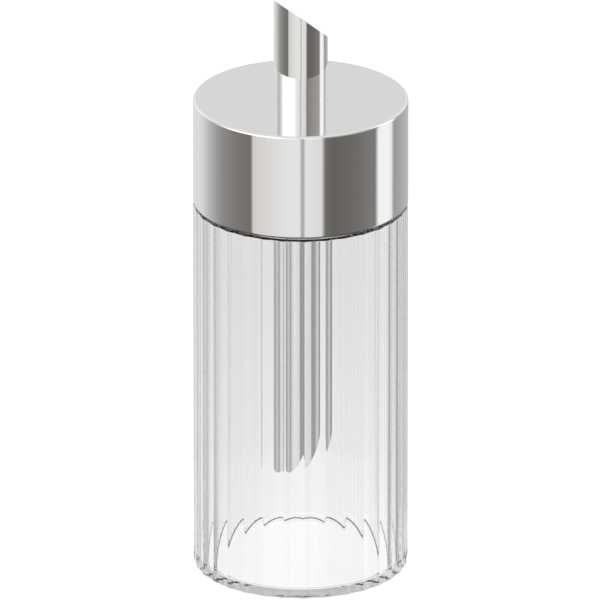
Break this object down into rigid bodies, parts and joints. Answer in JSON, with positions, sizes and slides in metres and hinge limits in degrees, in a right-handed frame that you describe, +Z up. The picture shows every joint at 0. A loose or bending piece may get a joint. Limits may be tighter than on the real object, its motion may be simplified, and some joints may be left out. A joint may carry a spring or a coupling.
{
  "type": "sugar container",
  "caption": "Round table sugar dispenser: fluted clear glass jar, tall polished steel lid and a dosing tube, cut aslant at both ends, standing through the lid.",
  "frame": {"origin": "middle of the round foot, on the table", "axes": "+Z up along the jar's axis, -Y towards the front as pictured, +X to its right"},
  "size_m": [0.062, 0.062, 0.1742],
  "materials": {
    "clear_glass": "clear pressed glass, fire polished",
    "polished_steel": "mirror-polished stainless steel sheet",
    "tube_steel": "mirror-polished stainless steel tube",
    "liner_plastic": "moulded white polypropylene",
    "gasket_silicone": "milky soft silicone",
    "seal_silicone": "milky soft silicone"
  },
  "bodies": {
    "jar": {"jar": "clear_glass"},
    "gasket": {"lid_gasket": "gasket_silicone"},
    "lid": {"lid_shell": "polished_steel", "lid_liner": "liner_plastic", "dosing_tube": "tube_steel", "tube_seal": "seal_silicone"}
  },
  "joints": [
    {"name": "lid_lift", "type": "slide", "parent": "jar", "child": "gasket", "axis": [0, 0, 1], "range_m": [0, 0.105]},
    {"name": "lid_turn", "type": "hinge", "parent": "gasket", "child": "lid", "pos_m": [0, 0, 0.12775], "axis": [0, 0, 1], "range_deg": [-45, 0]}
  ]
}
